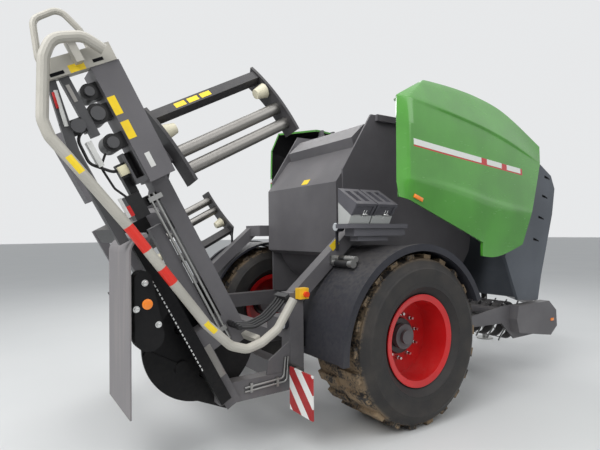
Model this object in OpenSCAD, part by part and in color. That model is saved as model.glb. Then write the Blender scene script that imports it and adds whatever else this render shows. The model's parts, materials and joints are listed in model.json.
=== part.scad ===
// Round baler with a bale wrapper on one chassis, parked on its wheels and its drawbar jack.
// Millimetres. +X points to the towing eye, +Y to the machine's left, +Z up, floor at Z = 0.

/* [Wheels] */
// Distance between the middles of the two tyres
track = 2260; // [2240:10:2300]
// Outer diameter of the tyres, over the lugs
tyre_d = 1350; // [1300:10:1380]
// Width of a tyre
tyre_w = 620; // [560:10:630]
// Height of the lugs
lug_h = 24; // [12:1:32]
// Width of a lug
lug_w = 76; // [60:1:90]
// Number of lugs on each shoulder of a tyre
lug_n = 22; // [16:1:26]
// Diameter of the rim's flanges
rim_d = 720; // [690:5:740]
// Width of the rim over its flanges
rim_w = 520; // [480:10:540]
// Diameter of the axle's spindles
spindle_d = 90; // [70:5:110]

/* [Chassis] */
// Width of a side member
member_w = 100; // [80:5:120]
// Height of a side member
member_h = 140; // [110:5:160]
// Side of the square axle beam
axle_s = 120; // [100:5:140]
// Length from the axle forward to the towing eye
eye_x = 4050; // [3800:10:4300]
// Height of the towing eye
eye_z = 480; // [420:10:560]
// Bore of the towing eye
eye_bore = 50; // [40:1:60]
// Thickness of the towing eye
eye_t = 34; // [28:1:45]
// Stroke of the parking jack
jack_stroke = 220; // [150:10:260]

/* [Chamber] */
// Diameter of the bale chamber
bale_d = 1250; // [1200:10:1280]
// Width of the bale chamber
bale_w = 1230; // [1180:10:1250]
// Thickness of the chamber's side walls
wall_t = 20; // [12:1:25]
// Height of the chamber's middle above the floor
chamber_z = 1580; // [1560:10:1600]
// Diameter of the tailgate's hinge pin
gate_pin_d = 44; // [30:2:60]

/* [Hoods] */
// Half of the width over the side hoods
hood_y = 1390; // [1360:5:1400]
// Height of the hoods' ridge
hood_z = 2800; // [2760:10:2850]
// Thickness of the hood shells
hood_t = 30; // [20:1:40]
// Diameter of the hoods' hinge pins
hood_pin_d = 24; // [16:1:30]

/* [Pickup] */
// Working width over the tines
pickup_w = 2200; // [2000:20:2260]
// Radius out to the tips of the tines
tine_r = 265; // [220:5:280]
// Number of tines in a row
tine_n = 16; // [12:1:20]
// Number of tine rows
tine_rows = 4; // [3:1:5]
// Thickness of a tine
tine_d = 12; // [8:1:16]

/* [Wrapper] */
// Lean of the parked wrapper back from upright, in degrees
lean = 28; // [26:0.5:30]
// Distance of the tilt pivot behind the axle
pivot_x = 1450; // [1420:10:1500]
// Height of the tilt pivot
pivot_z = 420; // [400:10:450]
// Diameter of the tilt pivot's pins
pivot_d = 50; // [40:2:60]
// Half of the width over the wrapper's columns
column_y = 1000; // [970:5:1010]
// Depth of a column
column_s = 110; // [90:5:120]
// Height of the rotor's axis above the tilt pivot, along the columns
rotor_z = 1225; // [1200:5:1250]
// Diameter of a stretch roller
roller_d = 84; // [70:2:90]
// Length of a stretch roller
roller_l = 850; // [800:10:860]
// Side of the square arm that holds the film roll
film_arm = 70; // [50:2:74]
// Diameter of the guard bow's tube
bow_d = 60; // [42:2:66]
// Length of the wrapping table's rails
table_l = 1240; // [1200:10:1260]
// Diameter of the table's rollers
table_roller_d = 190; // [150:5:200]
// Radius of the table's side discs
disc_r = 400; // [340:5:410]

/* [Hidden] */
$fn = 72;

GREY = "#4b4c50";
BLACK = "#202124";
GREEN = "#3f9a2f";
RED = "#c0202a";
PALE = "#c9cabf";
STEEL = "#9a9c9e";
YELLOW = "#e8c21c";

fit = 0.3;              // running gap at pins and seats
gap = 6;                // gap between pieces that move past each other
wheel_z = tyre_d / 2;
wheel_y = track / 2;

// The wrapper's own frame: x along the rotor's axis, z up along the columns, from the tilt pivot.
column_x = 215;         // rear face of the columns
head_y = column_y + 150;
bow_y = head_y + 70;
BOW = [
    [260, 2250], [190, 2345], [40, 2375], [-40, 2300], [-195, 2020], [-205, 1930], [-175, 1800],
    [-80, 1340], [40, 610], [110, 400], [190, 315], [300, 288], [440, 296], [640, 400]
];
LOOP = [[230, 2206], [230, 2410], [180, 2540], [30, 2520], [-40, 2330], [-40, 2206]];
loop_d = 36;
loop_bend = 60;
function rear_of(p) = -pivot_x + p[0] * cos(lean) - p[1] * sin(lean);
function height_of(p) = pivot_z + p[0] * sin(lean) + p[1] * cos(lean);
rear_x = min([for (p = rounded(LOOP, loop_bend)) for (s = [-1, 1])
    rear_of([p[0] - s * loop_d / 2 * sin(p[2]), p[1] + s * loop_d / 2 * cos(p[2])])]);
front_x = eye_x + eye_bore;
axle_x = -(front_x + rear_x) / 2;

module at_axle() translate([axle_x, 0, 0]) children();
module in_wrapper() at_axle() translate([-pivot_x, 0, pivot_z]) rotate([0, -lean, 0]) children();
module both() for (s = [-1, 1]) scale_y(s) children();
module scale_y(s) mirror([0, s > 0 ? 0 : 1, 0]) children();

// A round bar or bore along Y at x and z of p, from y0 to y1
module pin(p, d, y0, y1) translate([p[0], y0, p[1]]) rotate([-90, 0, 0]) cylinder(h = y1 - y0, d = d);

// A bent tube in the XZ plane at y, through points of x and z, with bends of radius r
function heading(p, q) = atan2(q[1] - p[1], q[0] - p[0]);
function turn(a, b) = let (t = b - a) t > 180 ? t - 360 : t < -180 ? t + 360 : t;
function corner(points, i, r) = let (
    a = heading(points[i - 1], points[i]),
    t = turn(a, heading(points[i], points[i + 1])),
    s = sign(t),
    l = r * tan(abs(t) / 2),
    c = points[i] - l * [cos(a), sin(a)] + s * r * [-sin(a), cos(a)],
    n = max(1, ceil(abs(t) / 15))
) [for (k = [0 : n]) let (w = a + t * k / n) [c[0] + s * r * sin(w), c[1] - s * r * cos(w), w]];
function rounded(points, r) = let (n = len(points) - 1) [
    [points[0][0], points[0][1], heading(points[0], points[1])],
    for (i = [1 : n - 1]) each corner(points, i, r),
    [points[n][0], points[n][1], heading(points[n - 1], points[n])]
];
module bent_tube(points, d, r, y, sides = 12) {
    path = rounded(points, r);
    n = len(path);
    polyhedron(
        points = [for (p = path) for (j = [0 : sides - 1]) let (f = j * 360 / sides)
            [p[0] - d / 2 * cos(f) * sin(p[2]), y + d / 2 * sin(f), p[1] + d / 2 * cos(f) * cos(p[2])]],
        faces = concat(
            [[for (j = [sides - 1 : -1 : 0]) j]],
            [for (i = [0 : n - 2]) for (j = [0 : sides - 1]) let (k = (j + 1) % sides)
                [i * sides + k, (i + 1) * sides + k, (i + 1) * sides + j, i * sides + j]],
            [[for (j = [0 : sides - 1]) (n - 1) * sides + j]]));
}

// A plate in the XZ plane from y0 to y1
module slab(y0, y1) translate([0, y1, 0]) rotate([90, 0, 0]) linear_extrude(y1 - y0) children();

// A box between two corners
module block(a, b) translate(a) cube(b - a);

// A square bar between two points of one XZ plane, from y0 to y1
module bar(p, q, y0, y1, s) {
    v = q - p;
    translate([p[0], y0, p[1]]) rotate([0, -atan2(v[1], v[0]), 0])
        translate([0, 0, -s / 2]) cube([norm(v), y1 - y0, s]);
}

// Sizes of the chassis
member_y = bale_w / 2 + wall_t + 5;
member_z = wheel_z + axle_s / 2;
member_top = member_z + member_h;
member_x1 = 1340;
post_x0 = -950;
post_x1 = -830;
post_y0 = 860;
post_y1 = 980;
post_top = 1080;
arm_y0 = post_y0 + 20;
arm_z0 = pivot_z - 50;
arm_z1 = pivot_z + 90;
stay_s = 110;
stay_y = post_y1 - 15;
fender_r = tyre_d / 2 + 100;
fender_c = [-30, wheel_z - 35];
stay_q = [-250, fender_c[1] + fender_r + 145];
wall_y = bale_w / 2;
wall_y1 = wall_y + wall_t;
pickup_pivot = [1000, member_z - 65];
pickup_shaft_d = 60;

module chassis_frame() color(GREY) at_axle() {
    both() {
        difference() {
            union() {
                block([post_x0, member_y, member_z], [member_x1, member_y + member_w, member_top]);
                block([pickup_pivot[0] - 60, member_y, pickup_pivot[1] - 60],
                    [pickup_pivot[0] + 60, member_y + member_w, member_z]);
            }
            pin(pickup_pivot, pickup_shaft_d + 2 * fit, 0, 2000);
        }
        block([post_x0, member_y + member_w, member_z], [post_x1, post_y0, member_top]);
        block([post_x0, post_y0, arm_z0], [post_x1, post_y1, post_top]);
        bar([post_x1 - 60, post_top - 60], stay_q, post_y0, stay_y - 5, stay_s);
        block([stay_q[0] - 60, wall_y1, stay_q[1] - 70], [stay_q[0] + 190, stay_y, stay_q[1] + 50]);
        difference() {
            block([-pivot_x - 60, arm_y0, arm_z0], [post_x0, post_y1, arm_z1]);
            pin([-pivot_x, pivot_z], pivot_d + 2 * fit, 0, 2000);
        }
        slab(post_y1 - 20, post_y1 - 5) polygon([
            [post_x0 - 200, arm_z1 - 5], [post_x0 - 180, arm_z1 + 100], [post_x0 + 5, arm_z1 + 220],
            [post_x0 + 5, arm_z1 - 5]]);
    }
    block([post_x0, -post_y0, arm_z0], [post_x1, post_y0, arm_z1]);
    block([member_x1 - 100, -member_y, member_z], [member_x1, member_y, member_top]);
    block([post_x0, -member_y - 10, member_z - 80], [post_x1, member_y + 10, member_z + 30]);
}

hub_y = wheel_y - 150;
module axle_beam() color(GREY) at_axle() {
    block([-axle_s / 2, -hub_y, wheel_z - axle_s / 2], [axle_s / 2, hub_y, wheel_z + axle_s / 2]);
    both() {
        pin([0, wheel_z], 230, hub_y, hub_y + 70);
        pin([0, wheel_z], spindle_d, hub_y + 70, wheel_y + 60);
        pin([0, wheel_z], 200, wheel_y + 46, wheel_y + 90);
        pin([0, wheel_z], 110, wheel_y + 90, wheel_y + 120);
    }
}

neck_z0 = member_top + 25;
neck_z1 = neck_z0 + 130;
neck_x = 2450;
neck_w = 140;
jack_x = 3050;
jack_y = 150;

module drawbar() color(GREY) at_axle() {
    block([member_x1 - 100, -neck_w / 2, member_top], [neck_x, neck_w / 2, neck_z1]);
    bar([neck_x - 60, neck_z0 + 65], [eye_x - 120, eye_z], -neck_w / 2, neck_w / 2, 120);
    block([eye_x - 170, -40, eye_z - 45], [eye_x - 70, 40, eye_z + 45]);
    difference() {
        union() {
            translate([eye_x, 0, eye_z - eye_t / 2]) cylinder(h = eye_t, r = eye_bore);
            block([eye_x - 100, -30, eye_z - eye_t / 2], [eye_x - 30, 30, eye_z + eye_t / 2]);
        }
        translate([eye_x, 0, eye_z - 50]) cylinder(h = 100, d = eye_bore);
    }
}

jack_d = 80;
jack_top = 900;
module jack_sleeve() color(BLACK) at_axle() {
    difference() {
        translate([jack_x, jack_y, 380]) cylinder(h = jack_top - 380, d = jack_d);
        translate([jack_x, jack_y, 0]) cylinder(h = jack_top - 30, d = jack_d - 16);
    }
    block([jack_x - 35, neck_w / 2, 640], [jack_x + 35, jack_y - jack_d / 2 + 2, 740]);
}

module jack_leg() color(STEEL) at_axle() translate([jack_x, jack_y, 0]) {
    cylinder(h = 12, d = 220);
    cylinder(h = jack_top - 30 - jack_stroke - 60, d = jack_d - 16 - 2 * fit);
}

shaft_d = 35;
module gearbox() color(BLACK) at_axle() {
    block([1850, -140, neck_z1], [2110, 140, neck_z1 + 190]);
    translate([2110, 0, neck_z1 + 95]) rotate([0, 90, 0]) cylinder(h = 60, d = 110);
    translate([2170, 0, neck_z1 + 95]) rotate([0, 90, 0]) cylinder(h = 90, d = shaft_d);
}

// Chamber
chamber_x = 550;
gate_hinge = [800, 2430];
hood_hinge_y = 705;
hood_hinge_z = hood_z - 100;
HOOD_LUGS = [570, 740];
module chamber_walls() color(GREY) at_axle() {
    both() {
        slab(wall_y, wall_y1) polygon([
            [-150, member_top + 20], [-150, hood_z - 700], [200, hood_z - 160], [1700, hood_z - 160],
            [1850, hood_z - 600], [1640, 1300],
            [1300, member_top], [-100, member_top]]);
        block([250, wall_y1, hood_z - 220], [1700, wall_y1 + 35, hood_z - 160]);
        for (x = HOOD_LUGS) {
            block([x, wall_y, hood_hinge_z - 100], [x + 30, hood_hinge_y + 16, hood_hinge_z + 16]);
            translate([x, hood_hinge_y, hood_hinge_z]) rotate([0, 90, 0]) cylinder(h = 70, d = hood_pin_d);
        }
    }
    pin(gate_hinge, gate_pin_d, -wall_y, wall_y);
}

module chamber_shell() color(GREY) at_axle() slab(-wall_y, wall_y) difference() {
    translate([chamber_x, chamber_z]) circle(d = bale_d + 80, $fn = 180);
    translate([chamber_x, chamber_z]) circle(d = bale_d, $fn = 180);
    polygon([[chamber_x - 900, chamber_z - 250], [chamber_x - 900, 2600], [gate_hinge[0] - 50, 2600],
        [gate_hinge[0] - 50, 2200], [chamber_x, chamber_z]]);
}

// Tailgate, between the side walls
gate_y = wall_y - gap;
gate_x1 = gate_hinge[0] - 60;
GATE_TOP = [[60, 2330], [330, 2470], [gate_x1 - 40, 2470]];
module tailgate_shell() color(GREY) at_axle() {
    slab(-gate_y, gate_y) difference() {
        polygon(concat([[-210, 1340], [-210, 1985]], GATE_TOP, [[gate_x1, 2470], [gate_x1, 2100], [0, 1300], [-120, 1300]]));
        translate([chamber_x, chamber_z]) circle(d = bale_d + 90, $fn = 180);
    }
    both() difference() {
        block([gate_x1, 400, 2240], [gate_hinge[0] + 35, 480, gate_hinge[1] + 35]);
        pin(gate_hinge, gate_pin_d + 2 * fit, 0, 1000);
    }
}

module tailgate_cover() color(BLACK) at_axle() slab(-gate_y + 60, gate_y - 60)
    polygon([GATE_TOP[0], GATE_TOP[1], GATE_TOP[2], [560, 2560], [420, 2600], [180, 2560], [30, 2420]]);

// Front roof and cowl
module front_roof() color(BLACK) at_axle() slab(-wall_y, wall_y) polygon([
    [960, 2560], [960, 2640], [1180, 2680], [1500, 2640], [1700, 2500], [1850, 2290], [1800, 2290], [1660, 2460]]);

cowl_y = 1200;
cowl_t = 30;
module front_cowl() color(GREY) at_axle() {
    difference() {
        slab(-cowl_y, cowl_y) polygon([
            [1440, 1265], [1650, 820], [2020, 790], [2095, 1050], [2340, 1700], [2400, 1980], [2330, 2120],
            [2120, 2230], [1890, 2270], [1850, 2235], [1600, 1700]]);
        slab(-cowl_y + cowl_t, cowl_y - cowl_t) polygon([
            [1400, 700], [1980, 700], [2058, 1060], [2300, 1710], [2360, 1970], [2300, 2085], [2110, 2190],
            [1880, 2230], [1700, 2235], [1400, 1700]]);
        block([1900, -220, 700], [2500, 220, 1300]);
    }
    both() block([1600, wall_y1, 1500], [1660, cowl_y - cowl_t, 1560]);
}

// Side hoods. Seen from above, the right one's rear edge runs forward to the ridge, and
// the left one is shorter.
module hood_side() polygon([
    [-225, 1800], [-250, hood_z - 210], [-140, hood_z - 190], [60, hood_z - 60], [255, hood_z + 20],
    [690, hood_z + 10], [1210, hood_z - 65], [1600, hood_z - 215], [1845, hood_z - 440],
    [1845, hood_z - 560], [1690, 1830], [1500, 1370],
    [1200, 1280], [890, 1290], [890, 1430]]);
module hood_front() {
    edge_y = hood_hinge_y + 30;
    polygon([
        [edge_y, hood_z - 60], [edge_y, hood_z], [1000, hood_z + 8], [1220, hood_z + 20], [1350, hood_z - 220],
        [hood_y - 10, hood_z - 550], [hood_y, 1900], [hood_y - 30, 1270], [hood_y - 30 - hood_t, 1270],
        [hood_y - hood_t, 1900], [hood_y - hood_t - 10, hood_z - 560], [1318, hood_z - 240],
        [1200, hood_z - 32], [1000, hood_z - 45]]);
}
module hood(s, rear) color(GREEN) at_axle() scale_y(s) {
    intersection() {
        linear_extrude(2 * hood_z)
            polygon(concat(rear, [[960, hood_hinge_y - 20], [1140, 1170], [2300, 1170], [2300, hood_y + 20]]));
        slab(hood_hinge_y, hood_y + 10) hood_side();
        translate([-300, 0, 0]) rotate([90, 0, 90]) linear_extrude(2300) hood_front();
    }
    for (x = HOOD_LUGS) difference() {
        block([x + 36, hood_hinge_y - 20, hood_hinge_z - 20], [x + 66, hood_hinge_y + 40, hood_z - 40]);
        translate([x, hood_hinge_y, hood_hinge_z]) rotate([0, 90, 0]) cylinder(h = 200, d = hood_pin_d + 2 * fit);
    }
}
module hood_right() hood(-1, [[-260, hood_y + 20], [-250, hood_y], [400, hood_hinge_y - 20]]);
module hood_left() hood(1, [[240, hood_y + 20], [240, 1250], [560, hood_hinge_y - 20]]);

// Fenders
fender_t = 24;
fender_lip = 15;
fender_y0 = 840;
fender_y1 = 1440;
module fender_ring(r0, r1, y0, y1) slab(y0, y1) difference() {
    translate(fender_c) circle(r = r1, $fn = 180);
    translate(fender_c) circle(r = r0, $fn = 180);
    translate(fender_c) polygon([[0, 0], [1500, 640], [1500, -1500], [-1500, -1500], [-1500, -60]]);
}
module fender(s) color(BLACK) at_axle() scale_y(s) {
    fender_ring(fender_r - fender_t, fender_r, fender_y0, fender_y1 - 20);
    fender_ring(fender_r - fender_t - fender_lip, fender_r + fender_lip, fender_y1 - 45, fender_y1);
    block([post_x1, post_y0 + 10, fender_c[1] - 20], [fender_c[0] - fender_r + 10, post_y1 - 10, fender_c[1] + 20]);
    block([-60, wall_y1, fender_c[1] + fender_r - 30], [0, fender_y0 + 10, fender_c[1] + fender_r - 10]);
}
module fender_right() fender(-1);
module fender_left() fender(1);

// Rack on the right fender, with two trays that lean outwards, each with two slots
shelf_z = stay_q[1] - 4;
tray_l = 205;
TRAY_X = [-555, -335];
SLOT_X = [35, 120];
slot_w = 48;
module along_x(x0, l) translate([x0, 0, shelf_z]) rotate([90, 0, 90]) linear_extrude(l) children();
module film_rack_right() color(GREY) at_axle() scale_y(-1) {
    block([-440, stay_y, shelf_z], [72, 1200, shelf_z + 34]);
    block([-576, 1062, shelf_z], [-430, 1200, shelf_z + 34]);
    block([-490, 1070, shelf_z - 60], [57, 1180, shelf_z + 5]);
    block([-440, 1075, shelf_z - 100], [-120, 1160, shelf_z - 55]);
    for (x = TRAY_X) difference() {
        along_x(x, tray_l) polygon([[1070, 30], [1070, 312], [1290, 181], [1221, 95], [1186, 30]]);
        for (o = SLOT_X) along_x(x + o, slot_w) polygon([[1105, 400], [1105, 230], [1250, 150], [1250, 400]]);
        along_x(x + 20, tray_l - 40) polygon([[1300, 170], [1262, 160], [1210, 100], [1235, 80]]);
    }
}

// Marker boards
board_z = 270;
board_s = 280;
module marker(s) color(RED) at_axle() scale_y(s) {
    block([post_x0 - 62, 1065, board_z], [post_x0 - 50, 1065 + board_s, board_z + 300]);
    block([post_x0 - 50, 1100, arm_z1 + 20], [post_x0 - 20, 1160, arm_z1 + 60]);
    block([post_x0 - 20, post_y1 - 5, arm_z1 + 20], [post_x0, 1160, arm_z1 + 60]);
}
module marker_right() marker(-1);
module marker_left() marker(1);

module lamps() color(BLACK) at_axle() both() {
    translate([post_x0 - 30, post_y0 + 60, 850]) rotate([0, 90, 0]) cylinder(h = 30, d = 90);
    translate([stay_q[0] - 285, stay_y + 40, stay_q[1] + 8]) rotate([0, 90, 0]) cylinder(h = 65, d = 74);
    block([stay_q[0] - 250, stay_y - 5, stay_q[1] - 180], [stay_q[0] - 230, stay_y + 10, stay_q[1] + 30]);
}

module stop_box() color(YELLOW) at_axle() {
    block([post_x0 + 50, -post_y1 - 60, post_top - 45], [post_x0 + 130, -post_y1, post_top + 35]);
    pin([post_x0 + 100, post_top - 10], 42, -post_y1 - 85, -post_y1 - 60);
}

// Oil filters on the right stay, and thin pipes along the right pivot arm
filter_x = stay_q[0] - 282;
filter_z = stay_q[1] - 275;
module hydraulics() color(STEEL) at_axle() scale_y(-1) {
    block([filter_x - 28, stay_y - 5, filter_z - 5], [filter_x + 50, stay_y + 20, filter_z + 60]);
    pin([filter_x, filter_z], 52, stay_y + 15, stay_y + 225);
    pin([filter_x, filter_z], 60, stay_y + 220, stay_y + 250);
    pin([filter_x + 32, filter_z + 37], 46, stay_y + 15, stay_y + 245);
    for (k = [0, 1]) bent_tube([
        [-pivot_x + 120, arm_z0 + 60 + 28 * k], [post_x0 - 40 - 24 * k, arm_z0 + 75 + 28 * k],
        [post_x0 - 24 - 24 * k, arm_z0 + 250]], 14, 30, post_y1 + 8);
    for (x = [-pivot_x + 160, post_x0 - 130])
        block([x, post_y1, arm_z0 + 50], [x + 20, post_y1 + 17, arm_z0 + 115]);
}

// Pickup
reel = [1800, 570];
reel_shaft_d = 40;
pickup_y = pickup_w / 2 + 40;
plate_t = 12;
tine_pitch = pickup_w / (tine_n + 0.5);
band_r = 196;
band_end = 49;
back_tube = [1500, 705];
module pickup_frame() color(GREY) at_axle() {
    both() {
        difference() {
            slab(pickup_y, pickup_y + plate_t) polygon([
                pickup_pivot + [-60, -50], pickup_pivot + [-60, 50], [1440, 770], [2170, 770], [2300, 660],
                [2300, 480], [2190, 405], [2060, 425], [1640, 425], [1440, 600]]);
            pin(reel, reel_shaft_d + 2 * fit, 0, 2000);
        }
        slab(pickup_y + plate_t, pickup_y + 100) polygon([
            [1600, 500], [1560, 640], [1600, 770], [2170, 770], [2310, 660], [2320, 490], [2190, 405], [2060, 425]]);
    }
    pin(pickup_pivot, pickup_shaft_d, -pickup_y, pickup_y);
    pin([2200, 640], 60, -pickup_y, pickup_y);
    pin(back_tube, 80, -pickup_y, pickup_y);
    for (i = [1 : tine_n - 1]) translate([0, (i - tine_n / 2) * tine_pitch, 0]) {
        slab(-45, 45) difference() {
            translate(reel) circle(r = band_r, $fn = 180);
            translate(reel) circle(r = band_r - 6, $fn = 180);
            translate(reel) polygon([[0, 0], 600 * [-cos(band_end), sin(band_end)], [-900, 0], [-400, -900]]);
        }
        bar(back_tube, reel + (band_r - 3) * [-cos(band_end + 4), sin(band_end + 4)], -45, 45, 6);
    }
}

module pickup_reel() color(STEEL) at_axle() {
    pin(reel, 110, -pickup_w / 2, pickup_w / 2);
    pin(reel, reel_shaft_d, -pickup_y - plate_t + 4, pickup_y + plate_t - 4);
    translate([reel[0], 0, reel[1]]) for (r = [0 : tine_rows - 1]) rotate([0, r * 360 / tine_rows + 45, 0])
        for (i = [0 : tine_n - 1]) translate([40, (i - (tine_n - 1) / 2) * tine_pitch - tine_d / 2, -tine_d / 2])
            cube([tine_r - 40, tine_d, tine_d]);
}

// Wheels, built about their own axis with the outside up
crown_r = tyre_d / 2 - lug_h;
TYRE = [
    [rim_d / 2 - 34.7, rim_w / 2 - 40], [rim_d / 2 + 3, rim_w / 2 - 16],
    [rim_d / 2 + 60, tyre_w / 2 - 12], [crown_r - 90, tyre_w / 2], [crown_r - 14, tyre_w / 2 - 46],
    [crown_r, tyre_w / 2 - 100]];
lug_x = sqrt(pow(tyre_d / 2, 2) - pow(lug_w / 2, 2));
module tyre(s) color(BLACK) at_axle() translate([0, s * wheel_y, wheel_z]) rotate([-90 * s, 0, 0]) {
    rotate_extrude($fn = 96) polygon(mirrored(TYRE));
    for (i = [0 : 2 * lug_n - 1]) rotate([0, 0, i * 180 / lug_n])
        block([crown_r - 20, -lug_w / 2, i % 2 == 0 ? 30 : 60 - tyre_w / 2],
            [lug_x, lug_w / 2, i % 2 == 0 ? tyre_w / 2 - 60 : -30]);
}
module tyre_right() tyre(-1);
module tyre_left() tyre(1);

rim_r = rim_d / 2;
barrel_r = rim_r - 35;
RIM = [
    [spindle_d / 2 + fit, 40], [140, 40], [150, 12], [barrel_r - 14, 12], [barrel_r - 14, rim_w / 2 - 10],
    [rim_r - 10, rim_w / 2], [rim_r, rim_w / 2], [rim_r, rim_w / 2 - 12], [barrel_r, rim_w / 2 - 34]];
function mirrored(p) = concat(p, [for (i = [len(p) - 1 : -1 : 0]) [p[i][0], -p[i][1]]]);
module rim(s) color(RED) at_axle() translate([0, s * wheel_y, wheel_z]) rotate([-90 * s, 0, 0])
    rotate_extrude($fn = 96) polygon(mirrored(RIM));
module rim_right() rim(-1);
module rim_left() rim(1);

// Wrapper frame. Each column stands forward of a leg that turns on the pivot pin.
column_x1 = column_x + column_s;
beam_y0 = column_y - 130;
head_x = column_x - 45;
leg_x0 = -48;
leg_x1 = 60;
leg_t = 12;
hub_d = 110;
rail_x = -40;
table_shaft_d = 50;
ROLLER_Z = [200, 0.45 * table_l];
module wrapper_frame() color(GREY) in_wrapper() {
    both() {
        difference() {
            union() {
                block([leg_x0, column_y - leg_t, -60], [leg_x1, column_y, 400]);
                block([leg_x0, beam_y0 + 10, 150], [leg_x1, column_y, 400]);
            }
            pin([rail_x, ROLLER_Z[0]], table_shaft_d + 2 * fit, 0, 2000);
        }
        block([leg_x0, beam_y0 + 10, 350], [column_x1, column_y, 520]);
        block([column_x - 15, column_y - 60, 285], [column_x1, column_y, 400]);
        block([column_x, beam_y0, 500], [column_x1, column_y, 1510]);
        block([70, column_y - 70, 500], [150, column_y - 10, 1250]);
        block([140, column_y - 60, 1180], [column_x + 5, column_y - 20, 1240]);
        pin([0, 0], pivot_d, arm_y0 - 6, column_y);
    }
    block([column_x, -beam_y0, rotor_z - 80], [column_x1, beam_y0, rotor_z + 80]);
    translate([column_x1, 0, rotor_z]) rotate([0, 90, 0]) cylinder(h = 110, d = hub_d);
}

module wrapper_head() color(GREY) in_wrapper() both() {
    block([head_x, column_y - 60, 1510], [column_x1 + 10, head_y, 2200]);
}

// The guard bow is on the right side only
module guard_bow() color(PALE) in_wrapper() scale_y(-1) {
    bent_tube(BOW, bow_d, 90, bow_y);
    bent_tube(LOOP, loop_d, loop_bend, head_y - 50, 10);
    block([-70, head_y - 70, 2200], [column_x1, head_y + 8, 2212]);
    block([-70, head_y, 2200], [column_x1, head_y + 8, 2300]);
    block([100, head_y, 2230], [140, bow_y, 2350]);
    block([column_x1 - 50, column_y, 290], [column_x1 - 10, bow_y - bow_d / 2 + 8, 330]);
}

// Gear case of the rotor, and the motors, valves and film holder behind the right upper box
HOLDER = [[-150, table_l + 25], [-95, table_l + 25], [-95, 1800], [-20, 2200], [-66, 2200], [-150, 1810]];
holder_y = head_y - 65;
module wrapper_drive() color(BLACK) in_wrapper() {
    block([20, -500, rotor_z - 60], [column_x, 500, rotor_z + 60]);
    scale_y(-1) {
        slab(holder_y, holder_y + 40) polygon(HOLDER);
        block([0, holder_y, 1860], [50, holder_y + 40, 2200]);
        block([-115, holder_y + 8, 1900], [10, holder_y + 32, 1985]);
        pin([-35, 1942], 76, holder_y + 5, holder_y + 62);
        for (m = [[108, 2090, 92], [92, 1968, 118], [90, 1795, 106]]) {
            pin([m[0], m[1]], m[2], column_y - 10, column_y + 118);
            pin([m[0], m[1]], m[2] - 40, column_y + 110, column_y + 140);
            block([m[0], column_y, m[1] - 45], [head_x, column_y + 100, m[1] + 45]);
        }
        block([0, column_y + 10, 1900], [60, column_y + 60, 1980]);
        difference() {
            block([95, column_y + 30, 1530], [head_x, head_y - 6, 1720]);
            block([107, column_y + 42, 1560], [head_x - 12, head_y, 1730]);
        }
        block([45, column_y + 45, 1590], [100, column_y + 105, 1675]);
        block([10, column_y - 20, 1340], [100, column_y + 80, 1490]);
        block([90, column_y - 50, 1380], [column_x, column_y - 10, 1440]);
        block([60, column_y - 10, 1485], [110, column_y + 50, 1600]);
        bent_tube([[60, 1930], [-62, 1900], [-70, 1740], [20, 1650], [60, 1640]], 18, 60, column_y + 80);
        bent_tube([[40, 1760], [-20, 1700], [-10, 1560], [30, 1480]], 14, 50, column_y + 60);
    }
}

// Two pipes along the right column
module wrapper_pipes() color(STEEL) in_wrapper() scale_y(-1) {
    for (x = [158, 190]) translate([x, column_y + 11, 360]) cylinder(h = 1080, d = 18, $fn = 24);
    block([144, column_y, 430], [204, column_y + 20, 460]);
    block([144, column_y, 1395], [column_x + 20, column_y + 20, 1425]);
}

// Hoses from the right column along the lower end of the guard bow
module wrapper_hoses() color(BLACK) in_wrapper() scale_y(-1) {
    for (k = [0 : 3]) {
        bent_tube([[236, 452 - 6 * k], [330, 392 - 6 * k], [440, 374 - 4 * k], [560, 398 - 4 * k], [622, 424 - 5 * k]],
            20, 80, column_y + 62 + 30 * k);
        pin([236, 452 - 6 * k], 30, column_y, column_y + 74 + 30 * k);
    }
    block([602, column_y + 45, 380], [640, bow_y - bow_d / 2, 440]);
}

// Wrapping table
rail_w = 80;
module table_rail(z1) difference() {
    union() {
        block([rail_x - rail_w / 2, column_y, 20], [rail_x + rail_w / 2, column_y + 50, z1]);
        if (z1 == table_l) slab(column_y + 20, column_y + 45) polygon([
            [rail_x - rail_w / 2 + 5, 760], [rail_x - rail_w / 2 + 5, 1000], [-150, 1010], [-290, 760], [-200, 690]]);
    }
    for (z = ROLLER_Z) pin([rail_x, z], table_shaft_d + 2 * fit, 0, 2000);
}
module table_frame() color(BLACK) in_wrapper() {
    scale_y(-1) table_rail(table_l);
    table_rail(ROLLER_Z[1] + 80);
    scale_y(-1) slab(beam_y0 - 20, beam_y0) difference() {
        union() {
            translate([50, disc_r]) circle(r = disc_r, $fn = 180);
            polygon([[-180, 80], [-25, -120], [60, -60], [100, 100]]);
        }
        translate([column_x1 + 10, -100]) square([500, 1200]);
        for (z = ROLLER_Z) translate([rail_x, z]) circle(d = table_shaft_d + 20, $fn = 180);
    }
    scale_y(-1) pin([-150, 330], 90, beam_y0 - 10, beam_y0 + 16);
    scale_y(-1) bar([-300, 560], [-160, 340], beam_y0 - 12, beam_y0 + 12, 40);
}

module table_covers() color(BLACK) in_wrapper() scale_y(-1) slab(column_y + 45, column_y + 140) hull() {
    translate([-136, 1030]) circle(d = 100);
    translate([-262, 715]) circle(d = 170);
}

module table_roller(z) color(STEEL) in_wrapper() {
    pin([rail_x, z], table_roller_d, 40 - beam_y0, beam_y0 - 40);
    pin([rail_x, z], table_shaft_d, -column_y - 50, column_y + 50);
}
module roller_front() table_roller(ROLLER_Z[0]);
module roller_rear() table_roller(ROLLER_Z[1]);

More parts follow.
